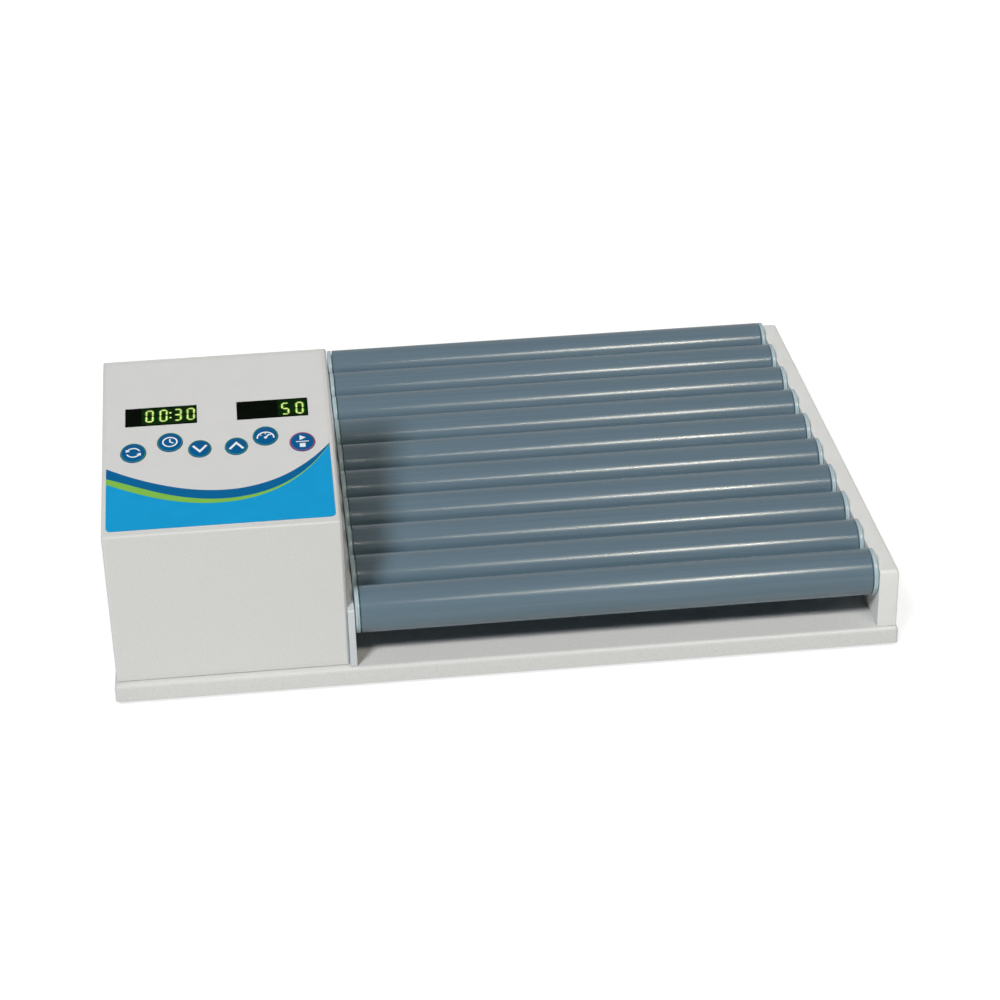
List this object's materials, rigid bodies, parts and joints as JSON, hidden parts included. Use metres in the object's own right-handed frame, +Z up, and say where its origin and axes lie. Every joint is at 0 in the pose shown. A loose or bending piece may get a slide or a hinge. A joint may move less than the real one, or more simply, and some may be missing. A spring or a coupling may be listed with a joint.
{
  "type": "tube roller mixer",
  "caption": "Bench mixer that rolls capped sample tubes on a bed of belt-driven parallel rollers, with a sloped control panel box on a folded base tray.",
  "frame": {"origin": "centre of the outer box's bottom, on the bench under the feet", "axes": "+X along the rollers away from the control box, +Y from the front to the back, +Z up"},
  "size_m": [0.52, 0.404, 0.1644],
  "materials": {
    "casing": "satin",
    "plate_white": "satin",
    "cover_plastic": "matt",
    "roller_grey": "satin",
    "cap_pale": "satin",
    "bush_brass": "satin",
    "pulley_dark": "matt",
    "belt_red": "matt",
    "foot_rubber": "matt",
    "steel": "satin",
    "bracket_aluminium": "satin",
    "overlay_film": "matt",
    "display_dark": "gloss",
    "board_green": "matt",
    "button_blue": "satin",
    "supply_parts": "matt",
    "inlet_black": "satin",
    "rocker_black": "satin"
  },
  "bodies": {
    "chassis": {"base_tray": "casing", "rubber_feet": "foot_rubber", "left_bearing_plate": "plate_white", "right_bearing_plate": "plate_white", "left_bushes": "bush_brass", "right_bushes": "bush_brass", "roller_belts": "belt_red", "motor_belt": "belt_red", "gearmotor": "steel", "motor_bracket": "bracket_aluminium", "belt_cover": "cover_plastic", "control_cover": "casing", "panel_overlay": "overlay_film", "time_display": "display_dark", "speed_display": "display_dark", "control_board": "board_green", "power_supply": "supply_parts", "power_inlet": "inlet_black", "case_screws": "steel"},
    "roller_1": {"roller_tube_1": "roller_grey", "roller_caps_1": "cap_pale", "roller_pulley_1": "pulley_dark"},
    "roller_2": {"roller_tube_2": "roller_grey", "roller_caps_2": "cap_pale", "roller_pulley_2": "pulley_dark"},
    "roller_3": {"roller_tube_3": "roller_grey", "roller_caps_3": "cap_pale", "roller_pulley_3": "pulley_dark"},
    "roller_4": {"roller_tube_4": "roller_grey", "roller_caps_4": "cap_pale", "roller_pulley_4": "pulley_dark"},
    "roller_5": {"roller_tube_5": "roller_grey", "roller_caps_5": "cap_pale", "roller_pulley_5": "pulley_dark"},
    "roller_6": {"roller_tube_6": "roller_grey", "roller_caps_6": "cap_pale", "roller_pulley_6": "pulley_dark"},
    "roller_7": {"roller_tube_7": "roller_grey", "roller_caps_7": "cap_pale", "roller_pulley_7": "pulley_dark"},
    "roller_8": {"roller_tube_8": "roller_grey", "roller_caps_8": "cap_pale", "roller_pulley_8": "pulley_dark"},
    "roller_9": {"roller_tube_9": "roller_grey", "roller_caps_9": "cap_pale", "roller_pulley_9": "pulley_dark"},
    "roller_10": {"roller_tube_10": "roller_grey", "roller_caps_10": "cap_pale", "roller_pulley_10": "pulley_dark"},
    "motor_output": {"motor_pulley": "pulley_dark", "motor_shaft": "steel"},
    "button_mode": {"button_mode": "button_blue"},
    "button_time": {"button_time": "button_blue"},
    "button_down": {"button_down": "button_blue"},
    "button_up": {"button_up": "button_blue"},
    "button_speed": {"button_speed": "button_blue"},
    "button_start": {"button_start": "button_blue"},
    "rocker": {"rocker_switch": "rocker_black"}
  },
  "joints": [
    {"name": "roller_1_spin", "type": "hinge", "parent": "chassis", "child": "roller_1", "pos_m": [0, -0.1845, 0.04975], "axis": [1, 0, 0], "continuous": true},
    {"name": "roller_2_spin", "type": "hinge", "parent": "chassis", "child": "roller_2", "pos_m": [0, -0.1435, 0.04975], "axis": [1, 0, 0], "continuous": true},
    {"name": "roller_3_spin", "type": "hinge", "parent": "chassis", "child": "roller_3", "pos_m": [0, -0.1025, 0.04975], "axis": [1, 0, 0], "continuous": true},
    {"name": "roller_4_spin", "type": "hinge", "parent": "chassis", "child": "roller_4", "pos_m": [0, -0.0615, 0.04975], "axis": [1, 0, 0], "continuous": true},
    {"name": "roller_5_spin", "type": "hinge", "parent": "chassis", "child": "roller_5", "pos_m": [0, -0.0205, 0.04975], "axis": [1, 0, 0], "continuous": true},
    {"name": "roller_6_spin", "type": "hinge", "parent": "chassis", "child": "roller_6", "pos_m": [0, 0.0205, 0.04975], "axis": [1, 0, 0], "continuous": true},
    {"name": "roller_7_spin", "type": "hinge", "parent": "chassis", "child": "roller_7", "pos_m": [0, 0.0615, 0.04975], "axis": [1, 0, 0], "continuous": true},
    {"name": "roller_8_spin", "type": "hinge", "parent": "chassis", "child": "roller_8", "pos_m": [0, 0.1025, 0.04975], "axis": [1, 0, 0], "continuous": true},
    {"name": "roller_9_spin", "type": "hinge", "parent": "chassis", "child": "roller_9", "pos_m": [0, 0.1435, 0.04975], "axis": [1, 0, 0], "continuous": true},
    {"name": "roller_10_spin", "type": "hinge", "parent": "chassis", "child": "roller_10", "pos_m": [0, 0.1845, 0.04975], "axis": [1, 0, 0], "continuous": true},
    {"name": "motor_spin", "type": "hinge", "parent": "chassis", "child": "motor_output", "pos_m": [0, -0.15, 0.092], "axis": [1, 0, 0], "continuous": true},
    {"name": "button_mode_press", "type": "slide", "parent": "chassis", "child": "button_mode", "axis": [0, 0.2334, -0.9724], "range_m": [0, 0.0005], "stiffness_N_per_m": 800, "springref_m": -0.0005},
    {"name": "button_time_press", "type": "slide", "parent": "chassis", "child": "button_time", "axis": [0, 0.2334, -0.9724], "range_m": [0, 0.0005], "stiffness_N_per_m": 800, "springref_m": -0.0005},
    {"name": "button_down_press", "type": "slide", "parent": "chassis", "child": "button_down", "axis": [0, 0.2334, -0.9724], "range_m": [0, 0.0005], "stiffness_N_per_m": 800, "springref_m": -0.0005},
    {"name": "button_up_press", "type": "slide", "parent": "chassis", "child": "button_up", "axis": [0, 0.2334, -0.9724], "range_m": [0, 0.0005], "stiffness_N_per_m": 800, "springref_m": -0.0005},
    {"name": "button_speed_press", "type": "slide", "parent": "chassis", "child": "button_speed", "axis": [0, 0.2334, -0.9724], "range_m": [0, 0.0005], "stiffness_N_per_m": 800, "springref_m": -0.0005},
    {"name": "button_start_press", "type": "slide", "parent": "chassis", "child": "button_start", "axis": [0, 0.2334, -0.9724], "range_m": [0, 0.0005], "stiffness_N_per_m": 800, "springref_m": -0.0005},
    {"name": "rocker_tilt", "type": "hinge", "parent": "chassis", "child": "rocker", "pos_m": [-0.1907, -0.0227, 0.0495], "axis": [1, 0, 0], "range_deg": [-18, 0]}
  ],
  "couplings": [
    {"joint": "roller_2_spin", "follows": "roller_1_spin", "ratio": 1},
    {"joint": "roller_3_spin", "follows": "roller_1_spin", "ratio": 1},
    {"joint": "roller_4_spin", "follows": "roller_1_spin", "ratio": 1},
    {"joint": "roller_5_spin", "follows": "roller_1_spin", "ratio": 1},
    {"joint": "roller_6_spin", "follows": "roller_1_spin", "ratio": 1},
    {"joint": "roller_7_spin", "follows": "roller_1_spin", "ratio": 1},
    {"joint": "roller_8_spin", "follows": "roller_1_spin", "ratio": 1},
    {"joint": "roller_9_spin", "follows": "roller_1_spin", "ratio": 1},
    {"joint": "roller_10_spin", "follows": "roller_1_spin", "ratio": 1},
    {"joint": "motor_spin", "follows": "roller_1_spin", "ratio": 1}
  ]
}
